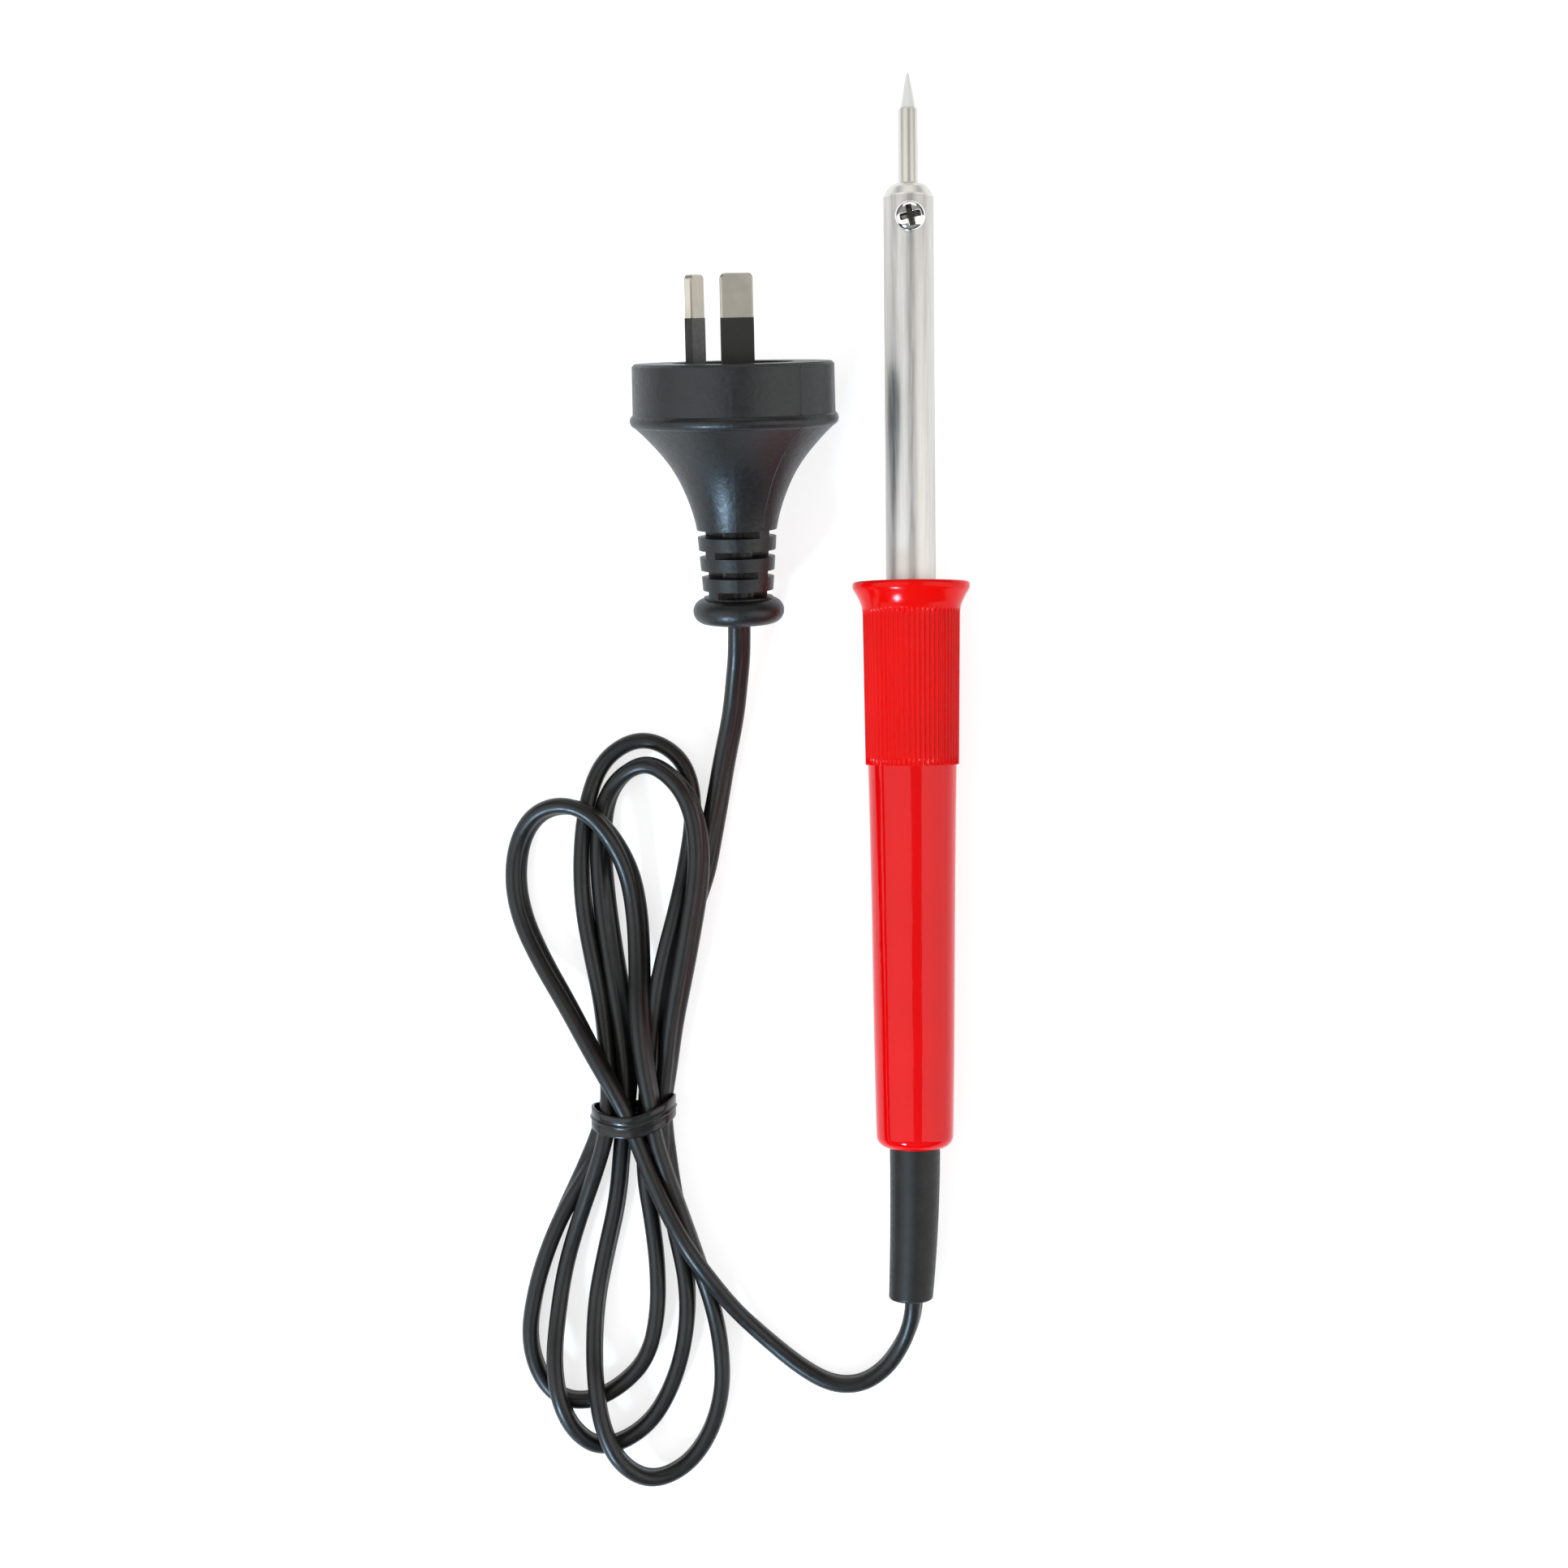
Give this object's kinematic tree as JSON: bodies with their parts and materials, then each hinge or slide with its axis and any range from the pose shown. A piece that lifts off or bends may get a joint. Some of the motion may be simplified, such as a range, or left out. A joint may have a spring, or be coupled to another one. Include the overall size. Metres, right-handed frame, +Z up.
{
  "type": "soldering iron",
  "caption": "Mains pencil soldering iron: clamped pencil tip, steel barrel, collared ribbed grip, smooth handle, and a tied flex ending in a flat-blade plug.",
  "frame": {"origin": "bottom centre of the iron's own box, on the bench it lies on, without the flex and plug", "axes": "+Y along the iron towards the tip, +Z up from the bench, +X to the right seen from above"},
  "size_m": [0.0942, 0.2845, 0.0418],
  "materials": {
    "handle_red": "glossy moulded red plastic",
    "grip_red": "red plastic, glossy collar and finely ribbed grip",
    "barrel_steel": "drawn stainless tube, satin",
    "nose_steel": "turned and nickel-plated",
    "tip_plating": "plated copper, brighter on the cone",
    "screw_chrome": "bright plated",
    "inner_steel": "plain steel",
    "mica": "mica paper",
    "heating_wire": "oxidised resistance wire",
    "insulator_ceramic": "unglazed white",
    "bush_resin": "brown phenolic",
    "glass_sleeving": "woven glass sleeving",
    "crimp_tin": "tinned",
    "core_pvc": "insulated core",
    "flex_pvc": "black satin flexible PVC",
    "protector_rubber": "matt black",
    "tie_pvc": "black plastic strip over a wire",
    "plug_pvc": "fine grained black PVC",
    "bridge_nylon": "pre-moulded core",
    "pin_nickel": "nickel-plated brass",
    "pin_insulation": "black pin sleeve"
  },
  "bodies": {
    "iron": {"nose_bush": "nose_steel", "barrel": "barrel_steel", "bit_tube": "inner_steel", "element_former": "mica", "heating_coil": "heating_wire", "element_sleeve": "mica", "rear_insulator": "insulator_ceramic", "element_leads": "heating_wire", "lead_sleeves": "glass_sleeving", "lead_crimps": "crimp_tin", "barrel_bush": "bush_resin", "barrel_clip": "inner_steel", "grip_sleeve": "grip_red", "handle": "handle_red", "flex_protector": "protector_rubber", "cord_tail": "flex_pvc", "cord_grip_ring": "inner_steel", "flex_cores": "core_pvc", "cord_iron_run": "flex_pvc", "cord_hank": "flex_pvc", "cord_plug_run": "flex_pvc", "cord_tie": "tie_pvc", "plug_body": "plug_pvc", "plug_bridge": "bridge_nylon", "plug_pins": "pin_nickel", "pin_sleeves": "pin_insulation", "plug_cores": "core_pvc", "plug_cord_tail": "flex_pvc"},
    "tip": {"tip": "tip_plating"},
    "tip_screw": {"tip_screw": "screw_chrome"}
  },
  "joints": [
    {"name": "tip_slide", "type": "slide", "parent": "iron", "child": "tip", "axis": [0, 0.9993, 0.0362], "range_m": [0, 0.048]},
    {"name": "tip_screw_turn", "type": "hinge", "parent": "iron", "child": "tip_screw", "pos_m": [0, 0.09334, 0.02003], "axis": [0, -0.0362, 0.9993], "range_deg": [0, 1080]}
  ]
}
